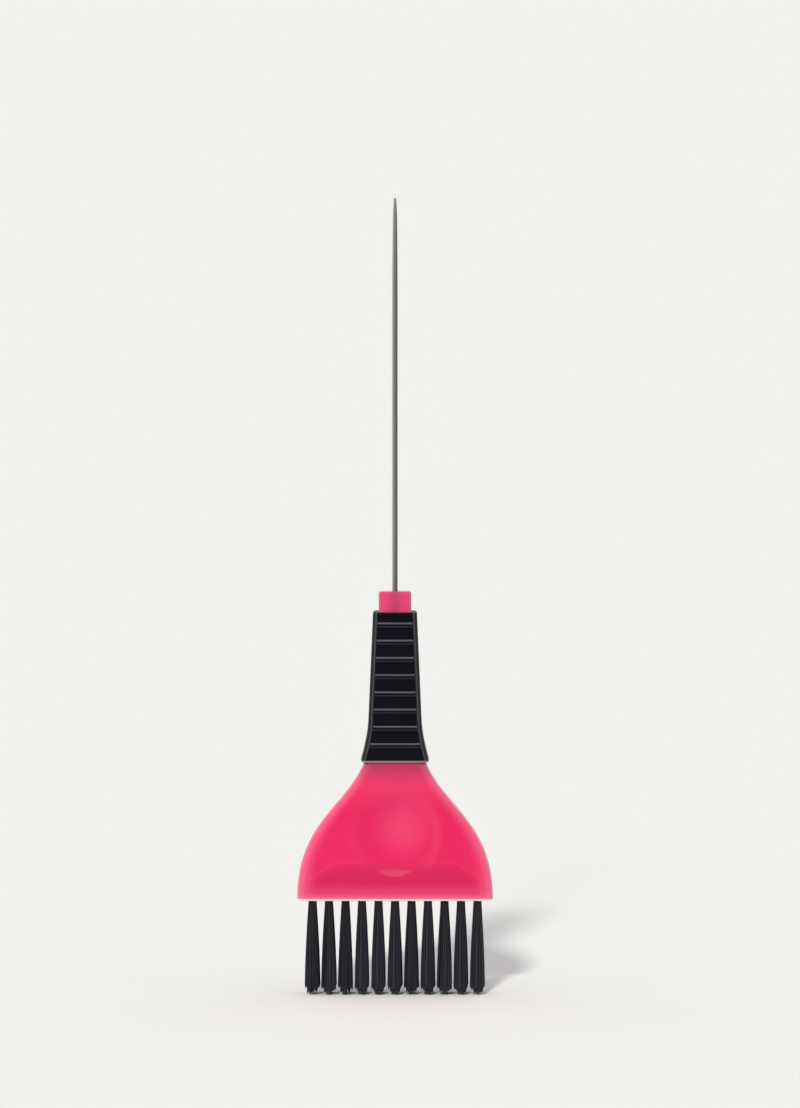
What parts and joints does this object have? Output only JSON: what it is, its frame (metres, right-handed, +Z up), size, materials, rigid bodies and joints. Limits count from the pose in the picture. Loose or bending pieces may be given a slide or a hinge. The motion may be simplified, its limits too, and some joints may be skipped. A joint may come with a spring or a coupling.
{
  "type": "tint brush",
  "caption": "Flat hair tint brush with a bell-shaped translucent head, rows of bristle tufts, a ribbed soft grip sleeve and a long tapered pin tail.",
  "frame": {"origin": "on the surface that the bristle tips stand on, under the middle of the brush", "axes": "+Z up along the pin tail, X across the head's width, Y through its thickness with the front at -Y"},
  "size_m": [0.057, 0.0146, 0.2315],
  "materials": {
    "pink_moulding": "translucent pink moulding, softly polished",
    "soft_grip": "black soft-touch sleeve, satin",
    "pin_steel": "drawn steel wire, satin",
    "anchor_wire": "flat rolled wire",
    "bristle": "charcoal nylon filaments"
  },
  "bodies": {
    "handle": {"brush_body": "pink_moulding", "grip_sleeve": "soft_grip", "pin_tail": "pin_steel", "anchors_front": "anchor_wire", "anchors_middle": "anchor_wire", "anchors_back": "anchor_wire"},
    "front_row": {"tuft_front_01": "bristle", "tuft_front_02": "bristle", "tuft_front_03": "bristle", "tuft_front_04": "bristle", "tuft_front_05": "bristle", "tuft_front_06": "bristle", "tuft_front_07": "bristle", "tuft_front_08": "bristle", "tuft_front_09": "bristle", "tuft_front_10": "bristle", "tuft_front_11": "bristle"},
    "middle_row": {"tuft_middle_01": "bristle", "tuft_middle_02": "bristle", "tuft_middle_03": "bristle", "tuft_middle_04": "bristle", "tuft_middle_05": "bristle", "tuft_middle_06": "bristle", "tuft_middle_07": "bristle", "tuft_middle_08": "bristle", "tuft_middle_09": "bristle", "tuft_middle_10": "bristle", "tuft_middle_11": "bristle"},
    "back_row": {"tuft_back_01": "bristle", "tuft_back_02": "bristle", "tuft_back_03": "bristle", "tuft_back_04": "bristle", "tuft_back_05": "bristle", "tuft_back_06": "bristle", "tuft_back_07": "bristle", "tuft_back_08": "bristle", "tuft_back_09": "bristle", "tuft_back_10": "bristle", "tuft_back_11": "bristle"}
  },
  "joints": [
    {"name": "middle_row_flex", "type": "hinge", "parent": "handle", "child": "middle_row", "pos_m": [0, 0, 0.0275], "axis": [1, 0, 0], "range_deg": [-25, 25], "stiffness_Nm_per_rad": 0.02, "deforming": ["tuft_middle_01", "tuft_middle_02", "tuft_middle_03", "tuft_middle_04", "tuft_middle_05", "tuft_middle_06", "tuft_middle_07", "tuft_middle_08", "tuft_middle_09", "tuft_middle_10", "tuft_middle_11"]},
    {"name": "front_row_flex", "type": "hinge", "parent": "handle", "child": "front_row", "pos_m": [0, -0.0032, 0.0275], "axis": [1, 0, 0], "range_deg": [-25, 25], "stiffness_Nm_per_rad": 0.02, "deforming": ["tuft_front_01", "tuft_front_02", "tuft_front_03", "tuft_front_04", "tuft_front_05", "tuft_front_06", "tuft_front_07", "tuft_front_08", "tuft_front_09", "tuft_front_10", "tuft_front_11"]},
    {"name": "back_row_flex", "type": "hinge", "parent": "handle", "child": "back_row", "pos_m": [0, 0.0032, 0.0275], "axis": [1, 0, 0], "range_deg": [-25, 25], "stiffness_Nm_per_rad": 0.02, "deforming": ["tuft_back_01", "tuft_back_02", "tuft_back_03", "tuft_back_04", "tuft_back_05", "tuft_back_06", "tuft_back_07", "tuft_back_08", "tuft_back_09", "tuft_back_10", "tuft_back_11"]}
  ],
  "couplings": [
    {"joint": "front_row_flex", "follows": "middle_row_flex", "ratio": 1},
    {"joint": "back_row_flex", "follows": "middle_row_flex", "ratio": 1}
  ]
}
